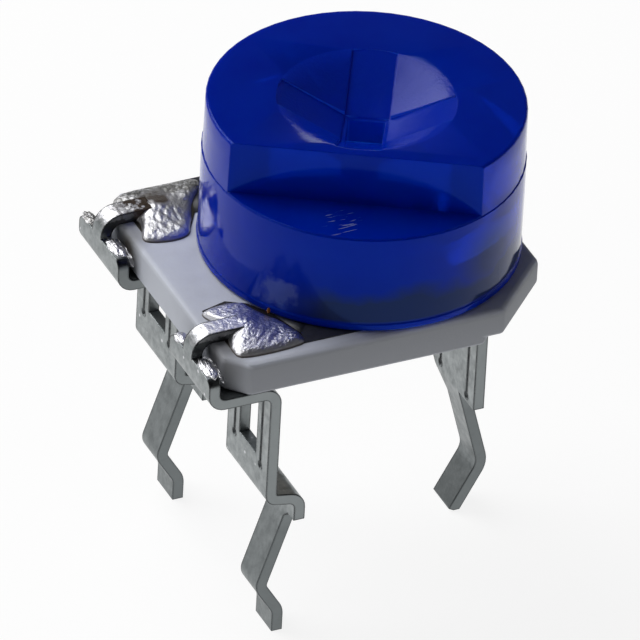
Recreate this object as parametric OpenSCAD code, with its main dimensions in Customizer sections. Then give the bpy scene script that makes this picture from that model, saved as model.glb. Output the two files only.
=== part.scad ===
// Single-turn trimmer potentiometer on an open ceramic plate, adjusted from above.
// Origin on the rotor axis, in the plane where the terminals seat on a circuit board.
// +Z points up to the knob, +X points from the two end terminals to the wiper terminal.

/* [Ceramic plate] */
// How far the plate reaches out from the knob's rim at the end terminals
back_margin = 1.01; // [0.9:0.01:1.3]
// How far the knob's rim hangs over the plate edge above the wiper terminal
front_overhang = 0.15; // [-0.3:0.01:0.2]
// How far the plate reaches out from the knob's rim on each side
side_margin = 0; // [-0.05:0.01:0.3]
// Thickness of the plate
plate_t = 0.77; // [0.6:0.01:1.1]
// Height of the plate's underside above the board
stand_h = 3.42; // [3.1:0.02:4.2]
// Length of the cut corners beside the wiper terminal
corner_cut = 1.45; // [0.8:0.05:1.7]
// Length of the small cut corners beside the end terminals
small_cut = 0.45; // [0.2:0.05:0.6]
// Rounding of the plate's upper edge
plate_edge_r = 0.14; // [0.05:0.01:0.25]
// Height of the step under the large cut corners
step_h = 0.16; // [0.05:0.01:0.25]
// Width of the step under the large cut corners
step_w = 0.3; // [0.1:0.05:0.5]

/* [Printed layers] */
// Thickness of the resistive print and of the conductor pads
print_t = 0.02; // [0.01:0.005:0.04]
// How far the track's outer edge lies inside the knob's rim
track_inset = 0.23; // [0.2:0.01:0.4]
// Width of the resistive track
track_w = 1.22; // [1:0.02:1.3]
// Sideways offset of the print on the plate
track_shift = 0.12; // [0:0.01:0.15]
// Half angle of the gap between the track's ends
track_gap_half = 48; // [44:1:54]
// Distance from the plate's edge to the conductor pads
pad_edge = 0.29; // [0.25:0.01:0.4]
// Length of the conductor pads, away from the plate's edge
pad_len = 1.57; // [1.5:0.01:1.6]
// Width of the conductor pads, towards the middle of the plate
pad_w = 1.92; // [1.8:0.02:2]

/* [Sheet terminals] */
// Thickness of the terminal sheet
sheet_t = 0.24; // [0.2:0.01:0.28]
// Width of the broad leg
leg_w = 2; // [1.8:0.05:2.1]
// Setback of the end terminals from the sides of the plate
leg_inset = 0.06; // [0:0.01:0.12]
// Gap between the plate edge and the upturned wall of an end terminal
tab_gap = 0.2; // [0.1:0.01:0.3]
// Height of the upturned wall above the plate's underside
tab_h = 0.5; // [0.4:0.01:0.6]
// Length of the strip under the plate, between its two bends
under_len = 1.4; // [1.2:0.05:1.6]
// Width of the finger that is folded over the plate edge
finger_w = 0.44; // [0.3:0.02:0.6]
// Sideways offset of the finger from the middle of the leg
finger_shift = 0.14; // [-0.2:0.02:0.3]
// Reach of the folded finger over the plate
finger_reach = 0.72; // [0.5:0.02:0.9]
// Inner radius of the sheet's bends
bend_r = 0.14; // [0.1:0.01:0.18]
// Radius of the finger's bend over the plate edge, at the middle of the sheet
finger_bend_r = 0.35; // [0.3:0.01:0.4]
// Rounding of the upturned wall's upper corners
wall_corner_r = 0.2; // [0.1:0.01:0.3]
// Length of the foot that turns inwards above the board
foot_len = 0.66; // [0.5:0.02:0.8]
// Height of the middle of the foot above the board
foot_h = 0.58; // [0.5:0.02:0.8]
// Width of the window in the broad leg
window_w = 0.82; // [0.5:0.02:1]
// Height of the window in the broad leg
window_h = 1.4; // [0.8:0.05:1.45]
// Height of the window's sill above the board
window_z = 1.47; // [1.3:0.02:1.6]

/* [Leads] */
// Width of the leads
lead_w = 0.78; // [0.6:0.02:0.9]
// Length of the leads below the board
lead_len = 3; // [2.8:0.05:4]
// Distance between the two end leads
lead_pitch = 5; // [4.7:0.02:5.1]
// Sideways offset of the middle lead
lead_2_shift = 0.1; // [-0.1:0.02:0.2]
// How far the end leads lean outwards at their kink
lead_lean = 0.6; // [0.4:0.02:0.7]
// How far the kinked ends of the end leads return inwards
lead_return = 0.42; // [0.3:0.02:0.5]
// Depth of the kink below the board, as a share of the leads' length
kink_share = 0.61; // [0.55:0.01:0.65]
// Height over which the end leads return inwards, as a share of their length
return_share = 0.22; // [0.18:0.01:0.24]
// Height of the slanted root of each lead
root_h = 0.12; // [0.05:0.01:0.2]
// Rotor axis to the outer face of the wiper terminal's broad leg
wiper_leg_x = 2.6; // [2.5:0.02:2.9]
// How far the wiper lead leans outwards at its kink
lead_2_lean = 0.52; // [0.3:0.02:0.6]
// How far the wiper lead's end returns inwards
lead_2_return = 0.6; // [0.4:0.02:0.7]

/* [Knob] */
// Radius of the knob at its rim
knob_r = 3.35; // [3.25:0.01:3.36]
// How much smaller the knob's radius is at its top
knob_taper = 0.03; // [0:0.01:0.06]
// Height of the knob
knob_h = 3.42; // [3.2:0.02:4]
// Gap between the knob's rim and the plate
rim_gap = 0.06; // [0.04:0.01:0.1]
// Distance from the rotor axis to the flat on the knob
flat_dist = 2.05; // [2:0.01:2.4]
// Height of the flat
flat_h = 1.2; // [0.8:0.05:1.3]
// Direction that the flat faces, from +X
flat_angle = -120; // [-180:5:180]
// Step of the parting line round the knob, just below the foot of the flat
parting_step = 0.02; // [0.01:0.01:0.04]
// Thickness of the knob's side wall
knob_wall = 0.55; // [0.4:0.05:0.7]
// Height of the hollow under the knob
hollow_h = 1.05; // [0.9:0.05:1.3]
// Radius of the dished recess
recess_r = 1.84; // [1.5:0.02:1.9]
// Slope of the recess
recess_slope = 29.5; // [20:0.5:32]
// Width of the cross slot's arms
slot_w = 0.94; // [0.8:0.02:1.1]
// Depth of the slot's arms at the rim of the recess
slot_rim_depth = 0.01; // [0.01:0.01:0.2]
// Depth of the slot's arms at the square hole
slot_depth = 0.8; // [0.7:0.02:0.9]
// Side of the square hole in the middle of the cross
square_w = 0.76; // [0.6:0.02:0.78]
// Depth of the square hole below the knob's top
square_depth = 1.7; // [1.4:0.05:1.9]

/* [Pivot and wiper] */
// Outer radius of the hollow rivet where it passes through the plate
shank_r = 0.6; // [0.5:0.02:0.65]
// Radius of the hole through the rivet
rivet_bore_r = 0.3; // [0.2:0.02:0.36]
// Radius of the rivet's heads
rivet_head_r = 0.92; // [0.8:0.02:0.96]
// Thickness of the rivet's heads
rivet_head_t = 0.15; // [0.1:0.01:0.18]
// Height of the shoulder that lifts the wiper off the plate
shoulder_h = 0.16; // [0.12:0.01:0.2]
// Radial clearance of the wiper round the rivet
turn_fit = 0.03; // [0.02:0.01:0.06]
// Play between faces that slide on each other
slide_gap = 0.02; // [0.01:0.005:0.03]
// Thickness of the wiper spring
wiper_t = 0.1; // [0.08:0.01:0.12]
// Distance from the track's outer edge to the line that the wiper rubs on
contact_inset = 0.67; // [0.5:0.01:0.8]
// Width of each of the wiper's fingers
wiper_finger_w = 0.16; // [0.12:0.01:0.2]
// Gap between the wiper's fingers
wiper_finger_gap = 0.08; // [0.06:0.01:0.12]
// Half angle of the stop raised on the plate
stop_half = 29; // [20:1:34]
// Half angle of the stop rib inside the knob
rib_half = 20; // [14:1:28]
// Height of the stop above the plate
stop_h = 0.45; // [0.4:0.01:0.6]

/* [Solder] */
// Height of the solder over the pads
solder_h = 0.2; // [0.14:0.01:0.24]
// Radius of the solder's crown round the tip of the finger
crown_r = 0.42; // [0.36:0.01:0.45]
// Gap kept between the solder and the knob
solder_gap = 0.1; // [0.06:0.01:0.2]

/* [Hidden] */
$fn = 96;
bend_steps = 6;
far = 12;
over = 1;
sink = 0.01;
small_r = 0.08;
plate_back = knob_r + back_margin;
plate_front = knob_r - front_overhang;
plate_w = 2 * (knob_r + side_margin);
track_outer_r = knob_r - track_inset;
track_inner_r = track_outer_r - track_w;
contact_r = track_outer_r - contact_inset;
pad_x = pad_edge - plate_back;
plate_z = stand_h + plate_t;
print_z = plate_z + print_t;
knob_z = plate_z + rim_gap;
knob_top = knob_z + knob_h;
ledge_z = knob_top - flat_h;
parting_drop = 0.03;
parting_z = ledge_z - parting_drop;
roof_z = knob_z + hollow_h;
leg_y = plate_w / 2 - leg_inset - leg_w / 2;
tab_x = -plate_back - tab_gap - sheet_t / 2;
leg_x = tab_x + under_len;
foot_x = leg_x + foot_len;
kink_x = foot_x - lead_lean;
kink_z = -kink_share * lead_len;
return_z = kink_z - return_share * lead_len;
strip_z = stand_h - sheet_t / 2;
finger_z = print_z + sheet_t / 2;
mid_r = bend_r + sheet_t / 2;
finger_end = -plate_back + finger_reach;
leg_2_x = wiper_leg_x - sheet_t / 2;
kink_2_x = leg_2_x + lead_2_lean;
wiper_z = plate_z + shoulder_h + slide_gap;
rivet_top_z = wiper_z + wiper_t + slide_gap;
wiper_hole_r = shank_r + turn_fit;
hub_z = wiper_z + wiper_t;
wiper_disc_r = 1.5;
hub_r = 1.45;
peg_r = 0.1;
peg_ring_r = 1.27;
stop_r = 1.75;
stop_w = 0.35;

// Unit vector along v
function unit(v) = v / norm(v);

// Points of a round of radius r that replaces corner b of the path a, b, c
function round_corner(a, b, c, r) =
    let (u = unit(a - b),
         w = unit(c - b),
         half = acos(u * w) / 2,
         s = b + u * r / tan(half),
         e = b + w * r / tan(half),
         o = b + unit(u + w) * r / sin(half),
         a0 = atan2(s.y - o.y, s.x - o.x),
         a1 = atan2(e.y - o.y, e.x - o.x),
         turn = (a1 - a0 + 540) % 360 - 180)
    [for (i = [0:bend_steps])
        let (a = a0 + turn * i / bend_steps)
        o + norm(s - o) * [cos(a), sin(a)]];

// Path through the points p with a round of radius r[i] at each inner corner
function bent_path(p, r) =
    concat([p[0]],
           [for (i = [1:len(p) - 2]) each round_corner(p[i - 1], p[i], p[i + 1], r[i - 1])],
           [p[len(p) - 1]]);

// The path q moved sideways by d, with mitred corners
function beside(q, d) =
    [for (i = [0:len(q) - 1])
        let (t0 = unit(i == 0 ? q[1] - q[0] : q[i] - q[i - 1]),
             t1 = i == len(q) - 1 ? t0 : unit(q[i + 1] - q[i]),
             m = unit([-t0.y - t1.y, t0.x + t1.x]))
        q[i] + m * d / (m * [-t0.y, t0.x])];

// The points of p in reverse order
function backwards(p) = [for (i = [len(p) - 1:-1:0]) p[i]];

// Sheet of thickness sheet_t folded along the path p in the XZ plane
module folded_sheet(p, r, y0, y1) {
    q = bent_path(p, r);
    translate([0, y1, 0])
        rotate([90, 0, 0])
            linear_extrude(height = y1 - y0)
                polygon(concat(beside(q, sheet_t / 2), backwards(beside(q, -sheet_t / 2))));
}

// Cuts a folded sheet to an outline drawn in the YZ plane
module punched() {
    intersection() {
        children(0);
        translate([-far, 0, 0])
            rotate([90, 0, 90])
                linear_extrude(height = 2 * far)
                    children(1);
    }
}

// Rectangle from corner a to corner b
module box_2d(a, b) {
    translate(a)
        square(b - a);
}

// Rectangle from a to b whose two upper corners are round
module round_top_2d(a, b, r) {
    box_2d(a, [b.x, b.y - r]);
    box_2d([a.x + r, a.y], [b.x - r, b.y]);
    translate([a.x + r, b.y - r])
        circle(r);
    translate([b.x - r, b.y - r])
        circle(r);
}

// Lead below the board with a short slanted root, centred on y
module lead_2d(y) {
    box_2d([y - lead_w / 2, -lead_len], [y + lead_w / 2, root_h]);
    polygon([[y - lead_w / 2 - root_h, 0], [y - lead_w / 2, -root_h], [y + lead_w / 2, -root_h],
             [y + lead_w / 2 + root_h, 0]]);
}

// Coined grooves beside the window, each ending in a dimple, on a face that looks to -X
module coined_marks(x, y, z, top) {
    mark_y = 0.64;
    groove_w = 0.07;
    groove_d = 0.03;
    dimple_r = 0.11;
    for (s = [-1, 1]) {
        translate([x - groove_d, y + s * mark_y - groove_w / 2, z])
            cube([2 * groove_d, groove_w, top - z]);
        translate([x - dimple_r / 2, y + s * mark_y, z])
            sphere(dimple_r, $fn = 24);
    }
}

// End terminal drawn on the +Y side of the plate, with its finger moved sideways by shift
module end_terminal(shift) {
    path = [[finger_end, finger_z], [tab_x, finger_z], [tab_x, strip_z], [leg_x, strip_z],
            [leg_x, foot_h + sheet_t / 4], [foot_x, foot_h - sheet_t / 4], [foot_x, 0],
            [kink_x, kink_z], [kink_x + lead_return, return_z],
            [kink_x + lead_return, -lead_len]];
    bends = [finger_bend_r, mid_r, mid_r, 0.6 * mid_r, mid_r, 1.5 * mid_r, mid_r, 1.6 * mid_r];
    difference() {
        punched() {
            folded_sheet(path, bends, leg_y - leg_w, leg_y + leg_w);
            difference() {
                union() {
                    round_top_2d([leg_y - leg_w / 2, 0], [leg_y + leg_w / 2, stand_h + tab_h],
                                 wall_corner_r);
                    box_2d([leg_y + shift - finger_w / 2, stand_h],
                           [leg_y + shift + finger_w / 2, plate_z + over]);
                    lead_2d(lead_pitch / 2);
                }
                round_top_2d([leg_y - window_w / 2, window_z],
                             [leg_y + window_w / 2, window_z + window_h], small_r);
            }
        }
        coined_marks(leg_x - sheet_t / 2, leg_y, window_z - 0.15, stand_h - sheet_t - bend_r);
    }
}

// The space that the finger of an end terminal takes up above the plate
module finger_space(side) {
    translate([-plate_back - tab_gap, side * leg_y + finger_shift - finger_w / 2, plate_z - over])
        cube([finger_reach + tab_gap, finger_w, over + print_t + sheet_t]);
}

// Outline of the plate, grown inwards by inset
module plate_2d(inset = 0) {
    x0 = -plate_back + inset;
    x1 = plate_front - inset;
    y1 = plate_w / 2 - inset;
    k = inset * (2 - sqrt(2));
    c = small_cut - k;
    d = corner_cut - k;
    polygon([[x0, c - y1], [x0 + c, -y1], [x1 - d, -y1], [x1, d - y1],
             [x1, y1 - d], [x1 - d, y1], [x0 + c, y1], [x0, y1 - c]]);
}

module ceramic_plate() {
    layers = 4;
    color("gainsboro") {
        difference() {
            hull() {
                translate([0, 0, stand_h])
                    linear_extrude(height = plate_t - plate_edge_r)
                        plate_2d();
                for (i = [1:layers]) {
                    a = 90 * i / layers;
                    translate([0, 0, stand_h])
                        linear_extrude(height = plate_t - plate_edge_r * (1 - sin(a)))
                            plate_2d(plate_edge_r * (1 - cos(a)));
                }
            }
            translate([0, 0, stand_h - over])
                cylinder(r = shank_r, h = plate_t + 2 * over);
            for (s = [-1, 1]) {
                translate([plate_front, s * plate_w / 2, stand_h])
                    rotate([0, 0, s * 45])
                        translate([-step_w - corner_cut / sqrt(2), -far / 4, -over])
                            cube([far / 4, far / 2, over + step_h]);
            }
        }
        stop_sector(180, stop_half, plate_z - sink, plate_z + stop_h);
    }
}

// Part of a ring, centred on angle a, from height z0 to height z1
module stop_sector(a, half, z0, z1) {
    reach = 2 * stop_r;
    translate([0, 0, z0])
        linear_extrude(height = z1 - z0)
            intersection() {
                difference() {
                    circle(stop_r + stop_w / 2);
                    circle(stop_r - stop_w / 2);
                }
                polygon([[0, 0], reach * [cos(a - half), sin(a - half)], reach * [cos(a), sin(a)],
                         reach * [cos(a + half), sin(a + half)]]);
            }
}

// Track: three quarters of a ring with straight ends that run out under the pads
module track_2d() {
    end_x = pad_x + 0.86 * pad_len;
    translate([0, track_shift])
        difference() {
            union() {
                circle(track_outer_r);
                box_2d([end_x, -track_outer_r], [0, track_outer_r]);
            }
            circle(track_inner_r);
            polygon([[0, 0], far * [-1, tan(track_gap_half)], far * [-1, -tan(track_gap_half)]]);
            box_2d([-far, -track_w], [end_x + 0.41 * track_w, track_w]);
        }
}

// Conductor pad at one end of the track: side 1 is +Y, side -1 is -Y
module pad_2d(side) {
    outline = [[0, 0.92], [0.36, 1], [0.62, 0.88], [0.83, 0.61], [1, 0.16], [0.94, 0], [0.24, 0],
               [0, 0.17]];
    translate([0, track_shift])
        scale([1, side])
            polygon([for (p = outline) [pad_x + pad_len * p.x, track_outer_r - pad_w * p.y]]);
}

module resistive_track() {
    color("dimgray")
        translate([0, 0, plate_z])
            linear_extrude(height = print_t)
                difference() {
                    track_2d();
                    pad_2d(1);
                    pad_2d(-1);
                }
}

module end_pad(side) {
    color("silver")
        translate([0, 0, plate_z])
            linear_extrude(height = print_t)
                pad_2d(side);
}

// Solder that has run over the pad and round the finger, clear of the turning knob
module solder_joint(side) {
    foot_t = solder_h / 4;
    color("lightgray")
        difference() {
            translate([0, 0, print_z])
                hull() {
                    linear_extrude(height = foot_t)
                        pad_2d(side);
                    translate([finger_end - crown_r / 4, side * leg_y + finger_shift, 0])
                        cylinder(r = crown_r, h = solder_h + sheet_t / 2, $fn = 32);
                }
            finger_space(side);
            translate([0, 0, plate_z])
                cylinder(r = knob_r + solder_gap, h = over);
        }
}

module terminal_1() {
    color("silver")
        end_terminal(finger_shift);
}

module terminal_3() {
    color("silver")
        mirror([0, 1, 0])
            end_terminal(-finger_shift);
}

// Wiper terminal: an eye under the plate, a broad leg with no window and a lead
module terminal_2() {
    eye_r = leg_w / 2;
    taper = 0.45;
    path = [[-eye_r, strip_z], [leg_2_x, strip_z], [leg_2_x, 0], [kink_2_x, 1.05 * kink_z],
            [kink_2_x - lead_2_return, -lead_len]];
    lead_0 = lead_2_shift - lead_w / 2;
    lead_1 = lead_2_shift + lead_w / 2;
    color("silver")
        difference() {
            intersection() {
                punched() {
                    folded_sheet(path, [mid_r, mid_r, 2 * mid_r], -eye_r, eye_r);
                    polygon([[-eye_r, stand_h], [-eye_r, 0], [lead_0, 0], [lead_0, -lead_len],
                             [lead_1, -lead_len], [lead_1, -taper], [eye_r, taper / 4], [eye_r, stand_h]]);
                }
                translate([0, 0, -lead_len])
                    linear_extrude(height = lead_len + stand_h) {
                        circle(eye_r);
                        box_2d([0, -eye_r], [far, eye_r]);
                    }
            }
            translate([0, 0, stand_h - over])
                cylinder(r = shank_r, h = 2 * over);
            coined_marks(leg_2_x - sheet_t / 2, 0, 0.15, stand_h - sheet_t - bend_r);
        }
}

// Hollow rivet: it clamps the wiper terminal's eye, stands on the plate and carries the wiper
module pivot_rivet() {
    low = stand_h - sheet_t;
    color("darkkhaki")
        rotate_extrude()
            polygon([[rivet_bore_r, low - rivet_head_t], [rivet_head_r - 0.05, low - rivet_head_t],
                     [rivet_head_r, low - rivet_head_t / 2], [rivet_head_r, low], [shank_r, low],
                     [shank_r, plate_z], [rivet_head_r, plate_z],
                     [rivet_head_r, plate_z + shoulder_h], [shank_r, plate_z + shoulder_h],
                     [shank_r, rivet_top_z], [rivet_head_r, rivet_top_z],
                     [rivet_head_r - 0.05, rivet_top_z + rivet_head_t],
                     [rivet_bore_r, rivet_top_z + rivet_head_t]]);
}

// Stamped spring: a disc round the rivet and three fingers that press on the track
module wiper_spring() {
    pitch = wiper_finger_w + wiper_finger_gap;
    tip_z = print_z + slide_gap + wiper_t / 2;
    mid_z = wiper_z + wiper_t / 2;
    color("goldenrod")
        difference() {
            union() {
                translate([0, 0, wiper_z])
                    cylinder(r = wiper_disc_r, h = wiper_t);
                for (i = [-1:1]) {
                    translate([0, i * pitch + wiper_finger_w / 2, 0])
                        rotate([90, 0, 0])
                            linear_extrude(height = wiper_finger_w)
                                wiper_finger_2d(wiper_disc_r - 2 * wiper_t, mid_z, tip_z);
                }
            }
            translate([0, 0, wiper_z - over])
                cylinder(r = wiper_hole_r, h = 2 * over);
            pegs(wiper_z - over, 2 * over);
        }
}

// Three pegs that fix the wiper to the knob
module pegs(z, h) {
    for (a = [60, 180, 300])
        rotate([0, 0, a])
            translate([peg_ring_r, 0, z])
                cylinder(r = peg_r, h = h, $fn = 24);
}

// Side view of one wiper finger: it drops to the track and its tip turns up
module wiper_finger_2d(x0, z0, z1) {
    flat_run = 0.35;
    tip_run = 0.22;
    q = bent_path([[x0, z0], [x0 + flat_run, z0], [contact_r, z1], [contact_r + tip_run, z1 + wiper_t]],
                  [3 * wiper_t, 1.2 * wiper_t]);
    polygon(concat(beside(q, wiper_t / 2), backwards(beside(q, -wiper_t / 2))));
}

// Side view of a pair of opposite arms of the cross slot
module slot_side_2d() {
    end = recess_r + over;
    rise = over * (slot_depth - slot_rim_depth) / (recess_r - square_w / 2);
    polygon([[-end, over], [-end, rise - slot_rim_depth], [-square_w / 2, -slot_depth],
             [square_w / 2, -slot_depth], [end, rise - slot_rim_depth], [end, over]]);
}

// Dished recess with a cross of sloping arms and a square hole in the middle
module driver_recess() {
    rise = 0.05;
    dish_depth = slot_depth - sink;
    slot_r = recess_r + sink;
    translate([0, 0, knob_top - dish_depth])
        cylinder(r1 = recess_r - dish_depth / tan(recess_slope), r2 = recess_r + rise / tan(recess_slope),
                 h = dish_depth + rise);
    intersection() {
        translate([0, 0, knob_top - square_depth])
            cylinder(r = slot_r, h = square_depth + rise);
        union() {
            for (a = [0, 90])
                rotate([0, 0, flat_angle + a])
                    translate([0, slot_w / 2, knob_top])
                        rotate([90, 0, 0])
                            linear_extrude(height = slot_w)
                                slot_side_2d();
        }
    }
    translate([0, 0, knob_top - square_depth])
        rotate([0, 0, flat_angle])
            translate([-square_w / 2, -square_w / 2, 0])
                cube([square_w, square_w, square_depth]);
}

module knob() {
    rim_h = 0.12;
    rim_step = 0.02;
    edge_r = 0.07;
    edge_x = knob_r - knob_taper - parting_step - edge_r;
    edge_z = knob_top - edge_r;
    low_r = knob_r - knob_taper / 2;
    pocket_gap = 0.15;
    color("mediumblue")
        difference() {
            union() {
                difference() {
                    rotate_extrude($fn = 128)
                        polygon(concat([[0, knob_z], [knob_r, knob_z], [knob_r, knob_z + rim_h],
                                        [knob_r - rim_step, knob_z + rim_h + rim_step],
                                        [low_r, parting_z], [low_r - parting_step, parting_z]],
                                       [for (a = [0:22.5:90])
                                           [edge_x + edge_r * cos(a), edge_z + edge_r * sin(a)]],
                                       [[0, knob_top]]));
                    rotate([0, 0, flat_angle])
                        translate([flat_dist, -far / 2, ledge_z])
                            cube([far, far, flat_h + over]);
                    translate([0, 0, knob_z - over])
                        cylinder(r = knob_r - knob_wall, h = hollow_h + over);
                }
                translate([0, 0, hub_z])
                    cylinder(r = hub_r, h = roof_z - hub_z + sink);
                stop_sector(0, rib_half, hub_z + slide_gap, roof_z + sink);
            }
            driver_recess();
            translate([0, 0, hub_z - over])
                cylinder(r = rivet_head_r + pocket_gap, h = over + slide_gap + rivet_head_t + pocket_gap);
        }
    color("mediumblue")
        pegs(wiper_z, wiper_t + peg_r);
}

knob();
wiper_spring();
pivot_rivet();
ceramic_plate();
resistive_track();
end_pad(1);  // end_pad_1
end_pad(-1);  // end_pad_3
terminal_1();
terminal_2();
terminal_3();
solder_joint(1);  // solder_joint_1
solder_joint(-1);  // solder_joint_3
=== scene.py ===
"""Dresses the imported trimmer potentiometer: pieces, finishes, floor, lights and camera."""
import math

import bmesh
import bpy
import numpy as np
from bpy.props import FloatProperty, FloatVectorProperty, PointerProperty
from mathutils import Matrix, Vector


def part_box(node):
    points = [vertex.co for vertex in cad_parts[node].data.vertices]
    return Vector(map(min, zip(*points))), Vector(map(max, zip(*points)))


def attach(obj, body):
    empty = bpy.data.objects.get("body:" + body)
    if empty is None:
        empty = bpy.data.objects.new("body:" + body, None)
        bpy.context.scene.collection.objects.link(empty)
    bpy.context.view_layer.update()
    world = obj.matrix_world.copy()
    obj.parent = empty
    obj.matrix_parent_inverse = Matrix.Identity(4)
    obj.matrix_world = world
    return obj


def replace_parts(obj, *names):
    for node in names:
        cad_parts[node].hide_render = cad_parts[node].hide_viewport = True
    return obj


bl_info = {
    "name": "Trimmer Potentiometer",
    "version": (1, 0, 0),
    "blender": (4, 5, 0),
    "location": "View3D > Sidebar > Trimmer",
    "description": "Builds the pieces, finishes and stage of an open-frame trimmer potentiometer",
    "category": "Object",
}

MM = 0.001
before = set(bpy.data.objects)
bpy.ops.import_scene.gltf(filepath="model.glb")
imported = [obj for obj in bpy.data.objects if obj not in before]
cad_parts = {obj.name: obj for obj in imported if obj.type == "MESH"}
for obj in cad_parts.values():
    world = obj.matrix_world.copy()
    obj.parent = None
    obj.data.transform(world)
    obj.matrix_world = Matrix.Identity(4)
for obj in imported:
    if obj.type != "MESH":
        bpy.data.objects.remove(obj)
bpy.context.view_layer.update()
KNOB_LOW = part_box("knob")[0]
PAD_LOW, PAD_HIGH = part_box("end_pad_1")
LEAD_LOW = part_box("terminal_1")[0]

# In copies of CAD nodes, points nearer than WELD are joined, facets that turn less than FLAT are
# dissolved and edges that turn more than CREASE stay sharp and are rounded.
WELD = 2e-7
FLAT = math.radians(0.6)
CREASE = math.radians(32)

# The knob's flat faces -120 degrees; this is the way from the ledge to the axis.
FROM_LEDGE = (math.cos(math.radians(60)), math.sin(math.radians(60)), 0)

# Middles of the marks that the picture shows on the knob, the plate, the fingers and the solder.
SCRATCHED = (-1.6 * MM, -2.3 * MM, 6.6 * MM)
WIPER_ARM = (1.65 * MM, -2.91 * MM, 5.35 * MM)
# Middle of the painted reflection on the skirt.
SKIRT_REFLECTION = (-2.72 * MM, -1.95 * MM, 4.82 * MM)
# Middles of the flux halo and painted shadow on the plate's side beside the folded walls.
REAR_HALO_SHADOW = (-4.4 * MM, 1.8 * MM, 3.85 * MM)
FRONT_HALO_SHADOW = (-4.2 * MM, -2.6 * MM, 4.0 * MM)
BURNT_FINGER = (-3.75 * MM, 2.45 * MM, 4.5 * MM)
BURNT_POOL = (-3.42 * MM, 2.62 * MM, 4.4 * MM)

# Outlines of the solder pools in millimetres, seen from above; both keep POOL_CLEAR from the axis.
POOL_CLEAR = 3.46
REAR_POOL = ((-4.12, 1.45), (-3.24, 1.36), (-2.70, 2.35), (-2.24, 2.98), (-2.5, 3.17),
             (-3.85, 3.2), (-4.22, 2.85), (-4.0, 2.1))
FRONT_POOL = ((-4.11, -1.32), (-3.25, -1.26), (-2.84, -1.9), (-2.52, -2.85), (-2.9, -3.07),
              (-3.9, -3.06), (-4.08, -2.75), (-3.95, -2.0))

# Solder on and beside the folded walls: middle and half sizes in millimetres, seed, roughness.
LUMPS = {
    "solder_run_1": ((-4.62, 1.84, 3.93), (0.15, 0.36, 0.07), 5, 0.5),
    "solder_run_3": ((-4.63, -2.8, 3.93), (0.14, 0.36, 0.06), 6, 0.5),
    "solder_fill_1": ((-4.38, 1.95, 3.66), (0.17, 0.42, 0.15), 7, 0.5),
    "solder_fill_3": ((-4.38, -2.55, 3.66), (0.17, 0.42, 0.15), 10, 0.5),
    "solder_lump_1": ((-4.67, 3.02, 3.91), (0.13, 0.24, 0.05), 11, 0.6),
    "solder_lump_3": ((-4.68, -1.62, 3.92), (0.13, 0.2, 0.06), 12, 0.6),
}
FLUX_BEAD = ((-2.9, -1.91, 4.37), (0.04, 0.04, 0.07), 9, 0.1)

# Corners of the black print beside a pad in millimetres, mirrored about y = PRINT_MIDDLE.
PRINT_CORNERS = ((-2.56, 2.84), (-2.8, 1.96), (-1.75, 1.96), (-2.45, 2.84))
PRINT_MIDDLE = 0.12

# The picture is PICTURE pixels wide; the middle of the knob's rim stands at AXIS_AT, counted from
# the upper left corner. SENSOR is the camera's film width in millimetres.
PICTURE = 640
AXIS_AT = (358.957, 237.624)
SENSOR = 36.0


def linear(code):
    """The linear RGBA of an sRGB hex colour."""
    parts = [int(code[i:i + 2], 16) / 255 for i in (1, 3, 5)]
    return [c / 12.92 if c <= 0.04045 else ((c + 0.055) / 1.055) ** 2.4 for c in parts] + [1.0]


def add(tree, kind, ins=(), **settings):
    """Adds a node with its settings and fills its sockets with values or links. A node given as a
    value stands for the first of its outputs that is in use."""
    node = tree.nodes.new(kind)
    for name, value in settings.items():
        setattr(node, name, value)
    for name, value in dict(ins).items():
        if isinstance(value, bpy.types.Node):
            value = next(socket for socket in value.outputs if socket.enabled)
        if isinstance(value, bpy.types.NodeSocket):
            tree.links.new(value, node.inputs[name])
        else:
            node.inputs[name].default_value = value
    return node


def blank_material(name):
    """An empty material and its node tree."""
    material = bpy.data.materials.new(name)
    material.use_nodes = True
    material.node_tree.nodes.clear()
    return material, material.node_tree


def grid_faces(rows, cols, wrap):
    """Quads between the rows and columns of a grid; wrap joins the last column to the first."""
    r = np.arange(rows - 1)[:, None]
    c = np.arange(cols if wrap else cols - 1)[None, :]
    d = (c + 1) % cols
    corners = (r * cols + c, r * cols + d, (r + 1) * cols + d, (r + 1) * cols + c)
    return np.stack(corners, -1).reshape(-1, 4)


def mesh_object(name, points, faces, body, material):
    """A smooth closed mesh object at the origin, made of points in metres, that rides on a body;
    the points that meet in a pole are welded."""
    mesh = bpy.data.meshes.new(name)
    mesh.from_pydata(np.asarray(points).reshape(-1, 3).tolist(), [], [list(f) for f in faces])
    form = bmesh.new()
    form.from_mesh(mesh)
    bmesh.ops.remove_doubles(form, verts=form.verts, dist=1e-9)
    bmesh.ops.recalc_face_normals(form, faces=form.faces)
    form.to_mesh(mesh)
    form.free()
    mesh.polygons.foreach_set("use_smooth", np.ones(len(mesh.polygons), bool))
    mesh.materials.append(material)
    piece = bpy.data.objects.new(name, mesh)
    bpy.context.scene.collection.objects.link(piece)
    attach(piece, body)
    return piece


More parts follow.
